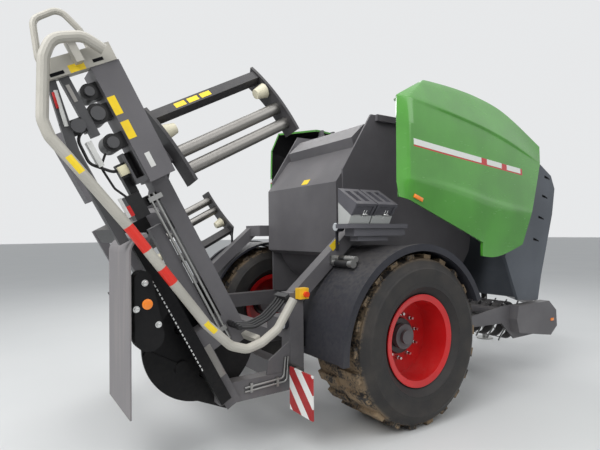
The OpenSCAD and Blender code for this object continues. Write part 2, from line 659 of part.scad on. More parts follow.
// Loose flap: it bends down from a holder on top of the right rail
flap_y0 = 623;
flap_y1 = 1174;
flap_l = 940;
flap_t = 10;
flap_r = 90;
flap_x = rear_of([rail_x - 80, table_l]);
flap_z = height_of([rail_x - 80, table_l]) - 38;
function on_flap(r, a) = [flap_x + flap_r + r * cos(a), flap_z + r * sin(a)];
module table_flap() color(BLACK) scale_y(-1) {
    end = 40 * [cos(lean), sin(lean)];
    in_wrapper() block([rail_x - 30, flap_y0, table_l], [rail_x + rail_w / 2, flap_y1, table_l + 25]);
    at_axle() slab(flap_y0 + 5, flap_y1 - 5) polygon(concat(
        [[flap_x + flap_t, flap_z - flap_l], [flap_x, flap_z - flap_l]],
        [for (a = [180 : -10 : 120]) on_flap(flap_r, a)], [on_flap(flap_r, 90 + lean) + end],
        [on_flap(flap_r - flap_t, 90 + lean) + end], [for (a = [120 : 10 : 180]) on_flap(flap_r - flap_t, a)]));
}

// Rotor
arm_x0 = column_x1 + 50;
plate_x = arm_x0 + 60;
end_x = plate_x + 20 + roller_l;
module rotor_arms() color(GREY) in_wrapper() translate([arm_x0, 0, rotor_z]) difference() {
    union() {
        rotate([0, 90, 0]) cylinder(h = 60, d = 260);
        for (k = [0, 1]) rotate([180 * k, 0, 0]) rotate([-24, 0, 0]) block([0, -980, -60], [60, 0, 60]);
    }
    translate([-10, 0, 0]) rotate([0, 90, 0]) cylinder(h = 200, d = hub_d + 2 * fit);
}

// Places round the rotor's axis, as distances to the side and up
ROLL_A = [975, 370];
ROLL_B = [1005, 250];
CONE = [930, 520];
ARM = [880, 630];
module end_plate(x) translate([x, 0, 0]) rotate([90, 0, 90]) linear_extrude(20) intersection() {
    difference() {
        circle(r = 1128, $fn = 180);
        circle(r = 945, $fn = 180);
    }
    polygon([[0, 0], 2000 * [-cos(39), sin(39)], 2000 * [-cos(9), sin(9)]]);
}
module dispenser(k) color(GREY) in_wrapper() translate([0, 0, rotor_z]) rotate([180 * k, 0, 0]) {
    end_plate(plate_x);
    end_plate(end_x);
    translate([plate_x + 20, -ARM[0], ARM[1]]) rotate([-atan2(ARM[1], ARM[0]), 0, 0])
        block([0, -film_arm / 2, -film_arm / 2], [roller_l, film_arm / 2, film_arm / 2]);
    translate([plate_x + 20, -CONE[0], CONE[1]]) rotate([0, 90, 0]) cylinder(h = 90, d1 = 110, d2 = 70);
    translate([end_x - 90, -CONE[0], CONE[1]]) rotate([0, 90, 0]) cylinder(h = 90, d1 = 70, d2 = 110);
}
module dispenser_right() dispenser(0);
module dispenser_left() dispenser(1);

module stretch(k) color(STEEL) in_wrapper() translate([plate_x + 20, 0, rotor_z]) rotate([180 * k, 0, 0])
    for (p = [ROLL_A, ROLL_B]) translate([0, -p[0], p[1]]) rotate([0, 90, 0]) cylinder(h = roller_l, d = roller_d);
module stretch_right() stretch(0);
module stretch_left() stretch(1);

chassis_frame();
axle_beam();
drawbar();
jack_sleeve();
jack_leg();
gearbox();
chamber_walls();
chamber_shell();
front_cowl();
front_roof();
fender_right();
fender_left();
film_rack_right();
marker_right();
marker_left();
lamps();
stop_box();
hydraulics();
tailgate_shell();
tailgate_cover();
hood_right();
hood_left();
pickup_frame();
pickup_reel();
tyre_right();
rim_right();
tyre_left();
rim_left();
wrapper_frame();
wrapper_head();
guard_bow();
wrapper_drive();
wrapper_pipes();
wrapper_hoses();
table_frame();
table_covers();
roller_front();
roller_rear();
table_flap();
rotor_arms();
dispenser_right();
dispenser_left();
stretch_right();
stretch_left();
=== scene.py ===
"""Looks for a round baler with a bale wrapper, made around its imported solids.

Lengths are metres. +X points to the towing eye, +Y to the machine's left and +Z up.
"""

from __future__ import annotations

import json
import logging
import math
from dataclasses import dataclass, field
from enum import Enum
from typing import Any, Iterable, Sequence, Union

import bmesh
import bpy
from mathutils import Matrix, Vector


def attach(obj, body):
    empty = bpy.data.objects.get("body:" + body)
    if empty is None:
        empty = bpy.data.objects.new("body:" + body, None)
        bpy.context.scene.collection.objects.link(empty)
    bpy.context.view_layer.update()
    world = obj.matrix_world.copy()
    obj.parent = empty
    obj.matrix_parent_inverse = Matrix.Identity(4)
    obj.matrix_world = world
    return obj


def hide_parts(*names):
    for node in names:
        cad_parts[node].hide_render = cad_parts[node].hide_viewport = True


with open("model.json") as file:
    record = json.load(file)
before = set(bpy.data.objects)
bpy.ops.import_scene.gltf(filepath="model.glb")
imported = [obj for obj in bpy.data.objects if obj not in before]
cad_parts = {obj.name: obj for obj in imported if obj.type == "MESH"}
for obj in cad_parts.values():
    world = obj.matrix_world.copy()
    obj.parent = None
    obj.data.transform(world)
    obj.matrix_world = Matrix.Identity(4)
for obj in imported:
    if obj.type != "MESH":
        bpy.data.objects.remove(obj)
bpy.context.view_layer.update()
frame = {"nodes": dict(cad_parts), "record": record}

log = logging.getLogger("baler")

JOINTS = {joint["name"]: joint for joint in frame["record"]["behaviour"]["joints"]}
AXLE_X: float = JOINTS["wheel_right_spin"]["pos_m"][0]
WHEEL_Z: float = JOINTS["wheel_right_spin"]["pos_m"][2]
WHEEL_Y: float = abs(JOINTS["wheel_right_spin"]["pos_m"][1])
TILT_X: float = JOINTS["wrapper_tilt"]["pos_m"][0]
TILT_Z: float = JOINTS["wrapper_tilt"]["pos_m"][2]
LEAN: float = math.asin(JOINTS["rotor_spin"]["axis"][2])
ROTOR_Z = 1.225

AXLE = Matrix.Translation((AXLE_X, 0, 0))
WRAPPER = Matrix.Translation((TILT_X, 0, TILT_Z)) @ Matrix.Rotation(-LEAN, 4, "Y")
ROTOR = WRAPPER @ Matrix.Translation((0, 0, ROTOR_Z))
OTHER_ARM = ROTOR @ Matrix.Rotation(math.pi, 4, "X")

Colour = tuple[float, float, float]
Point = tuple[float, float, float]
Value = Union["Sock", float, int, Sequence[float]]


class Side(Enum):
    """A side of the machine, as the sign of its Y."""

    RIGHT = -1
    LEFT = 1

    def span(self, inner: float, outer: float) -> list[float]:
        """Return two distances from the middle as this side's lower and upper Y."""
        return sorted((self.value * inner, self.value * outer))

    @property
    def word(self) -> str:
        """The side's word in the names of pieces and bodies."""
        return self.name.lower()


class Sock:
    """A shader socket whose arithmetic adds Math nodes."""

    def __init__(self, graph: "Graph", socket: bpy.types.NodeSocket) -> None:
        """Keep the graph and the output socket."""
        self.graph = graph
        self.socket = socket

    def _math(self, operation: str, *values: Value) -> "Sock":
        """Add a Math node for an operation and return its result."""
        return self.graph.node("ShaderNodeMath", {"operation": operation}, dict(enumerate(values)))

    def __add__(self, other: Value) -> "Sock":
        """Return self + other."""
        return self._math("ADD", self, other)

    def __radd__(self, other: Value) -> "Sock":
        """Return other + self."""
        return self._math("ADD", other, self)

    def __sub__(self, other: Value) -> "Sock":
        """Return self - other."""
        return self._math("SUBTRACT", self, other)

    def __rsub__(self, other: Value) -> "Sock":
        """Return other - self."""
        return self._math("SUBTRACT", other, self)

    def __mul__(self, other: Value) -> "Sock":
        """Return self * other."""
        return self._math("MULTIPLY", self, other)

    def __rmul__(self, other: Value) -> "Sock":
        """Return other * self."""
        return self._math("MULTIPLY", other, self)

    def __truediv__(self, other: Value) -> "Sock":
        """Return self / other."""
        return self._math("DIVIDE", self, other)

    def __abs__(self) -> "Sock":
        """Return the absolute value."""
        return self._math("ABSOLUTE", self)

    def __gt__(self, other: Value) -> "Sock":
        """Return 1 where self is over other, else 0."""
        return self._math("GREATER_THAN", self, other)

    def __lt__(self, other: Value) -> "Sock":
        """Return 1 where self is under other, else 0."""
        return self._math("LESS_THAN", self, other)

    def root(self) -> "Sock":
        """Return the square root."""
        return self._math("SQRT", self)

    def fraction(self) -> "Sock":
        """Return the part after the decimal point."""
        return self._math("FRACT", self)

    def between(self, low: float, high: float) -> "Sock":
        """Return 1 where the value lies between two numbers."""
        return (self > low) * (self < high)

    def smooth(self, low: float, high: float) -> "Sock":
        """Return a smooth rise from 0 at low to 1 at high."""
        return self.graph.node(
            "ShaderNodeMapRange",
            {"interpolation_type": "SMOOTHSTEP"},
            {"Value": self, "From Min": low, "From Max": high},
        )


class Graph:
    """The node tree of one material or world."""

    def __init__(self, tree: bpy.types.NodeTree) -> None:
        """Empty the tree and keep it."""
        tree.nodes.clear()
        self.tree = tree

    def node(
        self,
        kind: str,
        settings: dict[str, Any] | None = None,
        inputs: dict[Any, Value] | None = None,
        output: str | int = 0,
    ) -> Sock:
        """Add a node.

        Args:
            kind: The node's type, such as ShaderNodeMath.
            settings: Its own settings, set first.
            inputs: Values or links, by the socket's name or number.
            output: The name or number of the output to return.

        Returns:
            The chosen output.
        """
        node = self.tree.nodes.new(kind)
        for key, value in (settings or {}).items():
            setattr(node, key, value)
        for key, value in (inputs or {}).items():
            socket = node.inputs[key]
            if isinstance(value, Sock):
                self.tree.links.new(value.socket, socket)
            else:
                socket.default_value = value
        if not node.outputs:
            return Sock(self, None)
        return Sock(self, node.outputs[output])

    def place(self) -> tuple[Sock, Sock, Sock]:
        """Return X, Y and Z of the point, in the machine's frame."""
        point = self.node("ShaderNodeTexCoord", output="Object")
        split = self.node("ShaderNodeSeparateXYZ", {}, {0: point})
        outputs = split.socket.node.outputs
        return tuple(Sock(self, outputs[i]) for i in range(3))

    def on_wrapper(self) -> tuple[Sock, Sock]:
        """Return the place across and along the wrapper's leaning frame."""
        x, _, z = self.place()
        back, up = x - TILT_X, z - TILT_Z
        across = back * math.cos(LEAN) + up * math.sin(LEAN)
        return across, up * math.cos(LEAN) - back * math.sin(LEAN)

    def noise(self, scale: float, detail: float = 4.0, stretch: Point = (1.0, 1.0, 1.0)) -> Sock:
        """Return noise from 0 to 1.

        Args:
            scale: Cells per metre.
            detail: Octaves of finer noise.
            stretch: How much denser the noise is along each axis.

        Returns:
            The noise's value.
        """
        point = self.node("ShaderNodeTexCoord", output="Object")
        point = self.node("ShaderNodeMapping", {}, {"Vector": point, "Scale": stretch})
        return self.node("ShaderNodeTexNoise", {}, {"Vector": point, "Scale": scale, "Detail": detail})

    def mix(self, factor: Value, low: Value, high: Value) -> Sock:
        """Return a mix of two colours.

        Args:
            factor: 0 for the first colour, 1 for the second.
            low: The first colour.
            high: The second colour.

        Returns:
            The mixed colour.
        """
        colours = [(*c, 1.0) if isinstance(c, tuple) and len(c) == 3 else c for c in (low, high)]
        return self.node(
            "ShaderNodeMix",
            {"data_type": "RGBA"},
            {"Factor": factor, 6: colours[0], 7: colours[1]},
            output=2,
        )

    def facing_up(self) -> Sock:
        """Return how much the surface faces upwards, from 0 to 1."""
        normal = self.node("ShaderNodeTexCoord", output="Normal")
        split = self.node("ShaderNodeSeparateXYZ", {}, {0: normal})
        return Sock(self, split.socket.node.outputs[2]).smooth(0.3, 1.0)

    def surface(
        self,
        colour: Value,
        roughness: Value,
        height: Sock | None = None,
        bump: float = 0.0,
        metallic: Value = 0.0,
        coat: float = 0.0,
        coat_roughness: float = 0.1,
        specular: float = 0.5,
    ) -> None:
        """Close the graph with a Principled shader.

        Args:
            colour: Base colour.
            roughness: Roughness.
            height: Height for the bump, or None.
            bump: Depth of the bump, in metres.
            metallic: Metallic share.
            coat: Weight of a clear coat.
            coat_roughness: Roughness of the clear coat.
            specular: Specular level.
        """
        inputs: dict[Any, Value] = {
            "Base Color": (*colour, 1.0) if isinstance(colour, tuple) else colour,
            "Roughness": roughness,
            "Metallic": metallic,
            "Coat Weight": coat,
            "Coat Roughness": coat_roughness,
            "Specular IOR Level": specular,
        }
        if height is not None:
            inputs["Normal"] = self.node(
                "ShaderNodeBump", {}, {"Height": height, "Distance": bump, "Strength": 1.0}
            )
        shader = self.node("ShaderNodeBsdfPrincipled", {}, inputs)
        self.node("ShaderNodeOutputMaterial", {}, {"Surface": shader})


def new_material(name: str) -> tuple[bpy.types.Material, Graph]:
    """Return an empty material and its graph."""
    material = bpy.data.materials.new(name)
    material.use_nodes = True
    return material, Graph(material.node_tree)


@dataclass(frozen=True)
class Paint:
    """Sprayed paint or moulded plastic with dust, scuffs and a faint orange peel."""

    name: str
    colour: Colour
    roughness: float = 0.42
    coat: float = 0.0
    dust: float = 0.25
    dust_colour: Colour = (0.30, 0.27, 0.22)
    peel: float = 0.00004
    peel_scale: float = 260.0
    specular: float = 0.35

    def pattern(self, graph: Graph, base: Sock) -> Sock:
        """Return the colour with its pattern; plain paint has none."""
        return base

    def build(self) -> bpy.types.Material:
        """Make the material."""
        material, g = new_material(self.name)
        _, _, z = g.place()
        cloud = g.noise(2.2, 5.0)
        grain = g.noise(38.0, 6.0)
        tone = g.mix(cloud.smooth(0.3, 0.7), shade(self.colour, 0.88), shade(self.colour, 1.14))
        painted = self.pattern(g, tone)
        low = 1 - z.smooth(0.15, 1.3)
        settled = g.facing_up() * 0.75 + low * 0.35 + 0.12
        dust = settled * (cloud * 0.6 + grain * 0.8).smooth(0.42, 0.95) * self.dust
        colour = g.mix(dust, painted, self.dust_colour)
        scuff = g.noise(9.0, 8.0, (1.0, 1.0, 4.0)).smooth(0.58, 0.78)
        rough = self.roughness + dust * 0.5 + scuff * 0.10 + (grain - 0.5) * 0.08
        height = g.noise(self.peel_scale, 2.0)
        g.surface(colour, rough, height, self.peel, 0.0, self.coat, specular=self.specular)
        return material


def shade(colour: Colour, share: float) -> Colour:
    """Return a colour made lighter or darker by a share."""
    return tuple(min(1.0, c * share) for c in colour)


@dataclass(frozen=True)
class BandedPaint(Paint):
    """Paint of the guard bow: red bands across the tube and blank yellow stickers outside."""

    red: Colour = (0.62, 0.022, 0.012)
    yellow: Colour = (0.80, 0.58, 0.02)
    slope: tuple[float, float] = (0.984, -0.178)
    tube_y: float = 1.205
    outside_y: float = 1.243
    tube_x: float = 0.22
    red_bands: tuple[tuple[float, float], ...] = ((1.171, 1.343), (0.927, 1.039))
    stickers: tuple[tuple[float, float], ...] = ((1.708, 1.812), (0.525, 0.615))

    def pattern(self, graph: Graph, base: Sock) -> Sock:
        """Return the colour with bands and stickers.

        Args:
            graph: The material's graph.
            base: The plain colour.

        Returns:
            The banded colour.
        """
        _, y, _ = graph.place()
        across, along = graph.on_wrapper()
        slant = along * self.slope[0] + across * self.slope[1]
        outside = y < -self.outside_y
        tube = (y < -self.tube_y) * (across < self.tube_x)
        colour = base
        for low, high in self.red_bands:
            colour = graph.mix(slant.between(low, high) * tube, colour, self.red)
        for low, high in self.stickers:
            colour = graph.mix(slant.between(low, high) * outside * tube, colour, self.yellow)
        return colour


@dataclass(frozen=True)
class HoodPaint(Paint):
    """Gloss paint of the side hoods with a plain white strip over a red line."""

    white: Colour = (0.66, 0.68, 0.64)
    red: Colour = (0.45, 0.010, 0.010)
    strip: tuple[float, float] = (-0.018, 0.030)
    line: tuple[float, float] = (-0.031, -0.019)
    rear_x: float = -0.045
    tail_x: float = 0.82
    front_x: float = 1.46
    side_y: float = 1.30
    middle: tuple[float, float] = (2.222, -0.094)
    blocks_per_metre: float = 3.3
    block_start: float = 0.28
    block_share: float = 0.26

    def pattern(self, graph: Graph, base: Sock) -> Sock:
        """Return the colour with the strip.

        Args:
            graph: The material's graph.
            base: The plain colour.

        Returns:
            The colour with the strip.
        """
        x, y, z = graph.place()
        forward = x - AXLE_X
        height = z - (forward * self.middle[1] + self.middle[0])
        outside = abs(y) > self.side_y
        side = outside * forward.between(self.rear_x, self.front_x)
        colour = graph.mix(side * height.between(*self.strip), base, self.white)
        colour = graph.mix(side * height.between(*self.line), colour, self.red)
        tail = forward.between(self.tail_x, self.front_x) * outside
        tail = tail * height.between(self.line[0], self.strip[1])
        place = (forward * self.blocks_per_metre + self.block_start).fraction()
        return graph.mix(tail * place.between(0.0, self.block_share), colour, self.red)


@dataclass(frozen=True)
class BoardPaint(Paint):
    """Red and white slanting stripes of the marker boards."""

    white: Colour = (0.72, 0.72, 0.70)
    arm: Colour = (0.03, 0.03, 0.032)
    period: float = 0.205
    shift: float = 0.06
    red_share: float = 0.55
    board_y: float = 1.0645
    board_x: float = -0.9995

    def pattern(self, graph: Graph, base: Sock) -> Sock:
        """Return the striped colour.

        Args:
            graph: The material's graph.
            base: The red.

        Returns:
            The striped colour.
        """
        x, y, z = graph.place()
        slant = (abs(y) + z + self.shift) / self.period
        striped = graph.mix((slant + 4.0).fraction() > self.red_share, base, self.white)
        board = (abs(y) > self.board_y) * (x < AXLE_X + self.board_x)
        return graph.mix(board, self.arm, striped)


@dataclass(frozen=True)
class ButtonPaint(Paint):
    """Yellow box with an orange-red button."""

    button: Colour = (0.70, 0.05, 0.01)
    face_y: float = 1.0412

    def pattern(self, graph: Graph, base: Sock) -> Sock:
        """Return the colour with the button's red outside the box's face."""
        _, y, _ = graph.place()
        return graph.mix(y < -self.face_y, base, self.button)


@dataclass(frozen=True)
class RackPaint(Paint):
    """Dark trays over pale boxes."""

    pale: Colour = (0.40, 0.41, 0.40)
    lid: tuple[float, float] = (1.081, 1.750)
    lid_slope: float = 0.707
    box_z: float = 1.591
    box_y: float = 1.069
    box_x: float = -0.125

    def pattern(self, graph: Graph, base: Sock) -> Sock:
        """Return the colour with the boxes under the trays pale."""
        x, y, z = graph.place()
        over = z - self.lid[1] + (abs(y) - self.lid[0]) * self.lid_slope
        box = (over < 0.0) * (z > self.box_z) * (abs(y) > self.box_y) * (x < AXLE_X + self.box_x)
        return graph.mix(box, base, self.pale)


@dataclass(frozen=True)
class HeadPaint(Paint):
    """Black paint of the drive, with paler castings outside."""

    casting: Colour = (0.10, 0.10, 0.105)
    casting_y: float = 1.121

    def pattern(self, graph: Graph, base: Sock) -> Sock:
        """Return the colour with slightly paler castings."""
        _, y, _ = graph.place()
        return graph.mix((y < -self.casting_y) * 0.6, base, self.casting)


@dataclass(frozen=True)
class RimPaint(Paint):
    """Red rim paint with a dark hub."""

    hub: float = 0.150
    hub_paint: Colour = (0.015, 0.015, 0.016)
    grime_colour: Colour = (0.09, 0.05, 0.03)

    def pattern(self, graph: Graph, base: Sock) -> Sock:
        """Return the colour with a dark hub and brown grime round it.

        Args:
            graph: The material's graph.
            base: The red.

        Returns:
            The rim's colour.
        """
        radius = wheel_radius(graph)
        grime = (1 - radius.smooth(0.15, 0.30)) * graph.noise(14.0, 6.0).smooth(0.45, 0.7) * 0.35
        return graph.mix(radius < self.hub, graph.mix(grime, base, self.grime_colour), self.hub_paint)


@dataclass(frozen=True)
class ConePaint(Paint):
    """Dark paint of the film dispensers, with cream cones that hold the film's core."""

    cream: Colour = (0.62, 0.58, 0.44)
    centre: tuple[float, float] = (0.93, 0.52)
    radius: float = 0.0565
    reach: tuple[float, float] = (0.4505, 1.2995)

    def pattern(self, graph: Graph, base: Sock) -> Sock:
        """Return the colour with the cones cream.

        Args:
            graph: The material's graph.
            base: The dark paint.

        Returns:
            The colour with the cones.
        """
        _, y, _ = graph.place()
        across, along = graph.on_wrapper()
        out, up = abs(y) - self.centre[0], abs(along - ROTOR_Z) - self.centre[1]
        away = (out * out + up * up).root()
        return graph.mix((away < self.radius) * across.between(*self.reach), base, self.cream)


def wheel_radius(graph: Graph) -> Sock:
    """Return the distance from the wheels' axis."""
    x, _, z = graph.place()
    forward, up = x - AXLE_X, z - WHEEL_Z
    return (forward * forward + up * up).root()


@dataclass(frozen=True)
class TyreRubber:
    """Black rubber with dry mud in the tread and ribs round the sidewall."""

    name: str = "tyre_rubber"
    rubber: Colour = (0.022, 0.021, 0.021)
    mud: Colour = (0.25, 0.18, 0.11)

    def build(self) -> bpy.types.Material:
        """Make the material."""
        material, g = new_material(self.name)
        radius = wheel_radius(g)
        cloud = g.noise(7.0, 8.0)
        grain = g.noise(55.0, 8.0)
        tread = radius.smooth(0.615, 0.655)
        cake = tread * (cloud * 0.7 + grain * 0.5).smooth(0.50, 0.66) * 0.9
        film = (0.10 + radius.smooth(0.40, 0.62) * 0.16) * cloud.smooth(0.3, 0.7)
        colour = g.mix(film, self.rubber, (0.10, 0.085, 0.07))
        colour = g.mix(cake, colour, self.mud)
        ribs = radius.between(0.418, 0.424) + radius.between(0.452, 0.456) + radius.between(0.575, 0.581)
        height = ribs * 0.6 + cake * grain + grain * 0.15
        rough = 0.62 + cake * 0.3 + (cloud - 0.5) * 0.1
        g.surface(colour, rough, height, 0.004, specular=0.3)
        return material


@dataclass(frozen=True)
class Metal:
    """Bare or plated metal with fine lines along one axis."""

    name: str
    colour: Colour
    roughness: float
    stretch: Point = (1.0, 1.0, 1.0)
    grime: float = 0.25

    def build(self) -> bpy.types.Material:
        """Make the material."""
        material, g = new_material(self.name)
        lines = g.noise(90.0, 4.0, self.stretch)
        cloud = g.noise(5.0, 6.0)
        dirt = cloud.smooth(0.5, 0.75) * self.grime
        colour = g.mix(lines, shade(self.colour, 0.82), shade(self.colour, 1.08))
        colour = g.mix(dirt, colour, (0.10, 0.085, 0.07))
        rough = self.roughness + lines * 0.12 + dirt * 0.3
        g.surface(colour, rough, lines, 0.00005, 1.0 - dirt * 0.6)
        return material


@dataclass(frozen=True)
class Matt:
    """A plain matt surface with slight stains, such as sheet rubber, lens or sticker."""

    name: str
    colour: Colour
    roughness: float = 0.6
    stain: Colour = (0.12, 0.11, 0.10)
    stained: float = 0.3
    scale: float = 9.0
    streak: Point = (1.0, 1.0, 1.0)
    coat: float = 0.0
    specular: float = 0.4

    def build(self) -> bpy.types.Material:
        """Make the material."""
        material, g = new_material(self.name)
        cloud = g.noise(self.scale, 7.0, self.streak)
        mask = cloud.smooth(0.45, 0.72) * self.stained
        fine = g.noise(180.0, 3.0)
        colour = g.mix(mask, self.colour, self.stain)
        rough = self.roughness + (cloud - 0.5) * 0.2
        g.surface(colour, rough, fine, 0.00006, 0.0, self.coat, specular=self.specular)
        return material


GREY = Paint("grey_paint", (0.108, 0.104, 0.111), 0.42, dust=0.22, specular=0.3)
BLACK = Paint("black_paint", (0.006, 0.006, 0.007), 0.42, dust=0.07, specular=0.14)
COWL = Paint("grey_plastic", (0.082, 0.092, 0.108), 0.46, dust=0.12, specular=0.3)
MOULDED = Paint(
    "black_plastic", (0.019, 0.020, 0.027), 0.50, dust=0.2, peel=0.00012, peel_scale=420.0, specular=0.25
)
# Black plastic of the table covers, made darker than the moulded plastic as painted shade.
SHADED_COVER = Paint("cover_plastic_painted_shade", (0.009, 0.009, 0.010), 0.52, dust=0.06, specular=0.12)
GREEN = HoodPaint("green_paint", (0.060, 0.255, 0.026), 0.22, 0.6, 0.06, peel=0.00003, specular=0.45)
LINING = Paint("hood_lining", (0.006, 0.006, 0.007), 0.55, dust=0.1, specular=0.2)
RED = RimPaint("red_paint", (0.52, 0.006, 0.008), 0.32, 0.25, 0.08, specular=0.4)
BOW = BandedPaint("pale_paint", (0.37, 0.355, 0.315), 0.44, dust=0.30)
BOARD = BoardPaint("marker_red", (0.36, 0.012, 0.016), 0.42, dust=0.20)
STOP = ButtonPaint("stop_yellow", (0.80, 0.46, 0.02), 0.38, dust=0.15)
RACK = RackPaint("rack_paint", (0.085, 0.084, 0.096), 0.34, dust=0.20)
HEAD = HeadPaint("head_paint", (0.010, 0.010, 0.011), 0.36, dust=0.15, specular=0.3)
DISPENSER = ConePaint("dispenser_paint", (0.030, 0.029, 0.032), 0.42, dust=0.25)
TYRE = TyreRubber()
ZINC = Metal("zinc", (0.36, 0.36, 0.35), 0.36)
ROLLER = Metal("aluminium", (0.27, 0.26, 0.245), 0.36, (0.6, 6.0, 6.0), 0.15)
CHROME = Metal("bright_steel", (0.66, 0.66, 0.65), 0.16, (1.0, 1.0, 1.0), 0.08)
FLAP = Matt("sheet_rubber", (0.185, 0.175, 0.180), 0.62, (0.26, 0.24, 0.235), 0.5, 3.0, (6.0, 6.0, 0.6))
HOSE = Matt("hose_rubber", (0.010, 0.010, 0.011), 0.48, (0.10, 0.09, 0.08), 0.2)
YELLOW = Matt("blank_yellow", (0.80, 0.56, 0.012), 0.38, (0.40, 0.30, 0.08), 0.25)
WHITE = Matt("blank_white", (0.60, 0.60, 0.58), 0.40, (0.35, 0.33, 0.30), 0.25)
AMBER = Matt("amber_lens", (0.85, 0.22, 0.01), 0.18, (0.45, 0.15, 0.03), 0.15, coat=0.6)
LENS = Matt("clear_lens", (0.50, 0.52, 0.54), 0.12, (0.35, 0.35, 0.34), 0.2, coat=0.8)
PLAIN_RED = Matt("plain_red", (0.50, 0.010, 0.010), 0.40, stained=0.1)
CREAM = Matt("cream_cast", (0.62, 0.58, 0.40), 0.45)
# Near-black painted shade, laid as thin patches where slots are instead of cutting them.
SLOT_SHADE = Matt("painted_slot_shade", (0.004, 0.004, 0.005), 0.7, stained=0.0, specular=0.1)

Finish = Union[Paint, TyreRubber, Metal, Matt]


class Workshop:
    """Keeps the materials, so that each finish is built once."""

    def __init__(self) -> None:
        """Start with no materials."""
        self.made: dict[str, bpy.types.Material] = {}

    def material(self, finish: Finish) -> bpy.types.Material:
        """Return a finish's material, built on first use."""
        if finish.name not in self.made:
            self.made[finish.name] = finish.build()
        return self.made[finish.name]

    def dress(self, finish: Finish, *nodes: str) -> None:
        """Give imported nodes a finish."""
        for name in nodes:
            mesh = frame["nodes"][name].data
            mesh.materials.clear()
            mesh.materials.append(self.material(finish))


SHOP = Workshop()


class Solid:
    """A mesh under construction in one of the machine's frames."""

    def __init__(self, place: Matrix = AXLE) -> None:
        """Start an empty mesh in the frame of place."""
        self.mesh = bmesh.new()
        self.place = place

    def box(self, low: Point, high: Point, bevel: float = 0.0, turn: float = 0.0) -> "Solid":
        """Add a block between two corners.

        Args:
            low: One corner.
            high: The opposite corner.
            bevel: Width of the rounded edges.
            turn: Turn about Y through the block's middle, in radians.

        Returns:
            This solid.
        """
        a, b = Vector(low), Vector(high)
        size = Matrix.Diagonal((*(b - a), 1.0))
        where = Matrix.Translation((a + b) / 2) @ Matrix.Rotation(turn, 4, "Y") @ size
        made = bmesh.ops.create_cube(self.mesh, size=1.0, matrix=self.place @ where)
        if bevel > 0:
            self._bevel(made["verts"], bevel)
        return self

    def _bevel(self, verts: Iterable[bmesh.types.BMVert], width: float) -> None:
        """Round the edges between some vertices."""
        edges = {edge for vert in verts for edge in vert.link_edges}
        sharp = [e for e in edges if len(e.link_faces) == 2 and e.calc_face_angle() > 0.7]
        bmesh.ops.bevel(
            self.mesh,
            geom=sharp,
            offset=width,
            segments=2,
            profile=0.5,
            affect="EDGES",
            material=-1,
            clamp_overlap=True,
        )

    def rod(
        self, start: Point, end: Point, radius: float, sides: int = 20, end_radius: float | None = None,
        bevel: float = 0.0,
    ) -> "Solid":
        """Add a round bar or cone.

        Args:
            start: Middle of the first end.
            end: Middle of the other end.
            radius: Radius at the start.
            sides: Number of flat sides.
            end_radius: Radius at the end, or None for the same.
            bevel: Width of the rounded rims.

        Returns:
            This solid.
        """
        a, b = Vector(start), Vector(end)
        turn = (b - a).to_track_quat("Z", "Y").to_matrix().to_4x4()
        made = bmesh.ops.create_cone(
            self.mesh,
            cap_ends=True,
            segments=sides,
            radius1=radius,
            radius2=radius if end_radius is None else end_radius,
            depth=(b - a).length,
            matrix=self.place @ Matrix.Translation((a + b) / 2) @ turn,
        )
        if bevel > 0:
            self._bevel(made["verts"], bevel)
        return self

    def bolt(self, at: Point, out: Point, across: float = 0.024) -> "Solid":
        """Add a hexagon bolt head with a washer.

        Args:
            at: Where the bolt meets the surface.
            out: The way that it points.
            across: Width of the head.

        Returns:
            This solid.
        """
        base, way = Vector(at), Vector(out).normalized() * across
        self.rod(base, base + way * 0.12, across * 0.75)
        return self.rod(base + way * 0.12, base + way * 0.65, across * 0.55, 6, bevel=across * 0.06)

    def finish(self, name: str, body: str, slot: str, *looks: Finish) -> bpy.types.Object:
        """Turn the mesh into a piece of the machine.

        Args:
            name: The piece's name.
            body: The body that it rides on.
            slot: Not used.
            looks: Its finishes, one for each material slot.

        Returns:
            The new object.
        """
        bmesh.ops.recalc_face_normals(self.mesh, faces=self.mesh.faces)
        for face in self.mesh.faces:
            face.smooth = True
        for edge in self.mesh.edges:
            edge.smooth = len(edge.link_faces) == 2 and edge.calc_face_angle() < 0.7
        data = bpy.data.meshes.new(name)
        self.mesh.to_mesh(data)
        self.mesh.free()
        piece = bpy.data.objects.new(name, data)
        bpy.context.scene.collection.objects.link(piece)
        for look in looks:
            data.materials.append(SHOP.material(look))
        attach(piece, body)
        log.info("%s: %d faces on %s", name, len(data.polygons), body)
        return piece


@dataclass
class WheelSet:
    """Wheels: tyre, rim and the studs of the hub."""

    stud_ring: float = 0.178
    stud_count: int = 10
    disc_y: float = WHEEL_Y + 0.012

    def build(self) -> None:
        """Dress both wheels and add their studs."""
        for side in Side:
            word = side.word
            SHOP.dress(TYRE, f"tyre_{word}")
            SHOP.dress(RED, f"rim_{word}")
            solid = Solid()
            for i in range(self.stud_count):
                angle = 2 * math.pi * i / self.stud_count + 0.2
                x, z = self.stud_ring * math.cos(angle), WHEEL_Z + self.stud_ring * math.sin(angle)
                y = side.value * self.disc_y
                out = side.value * 0.026
                solid.rod((x, y, z), (x, y + out, z), 0.017, 6, bevel=0.002)
                solid.rod((x, y + out, z), (x, y + out * 2, z), 0.011, 12)
            solid.finish(f"wheel_nuts_{word}", f"wheel_{word}", "zinc", CHROME)


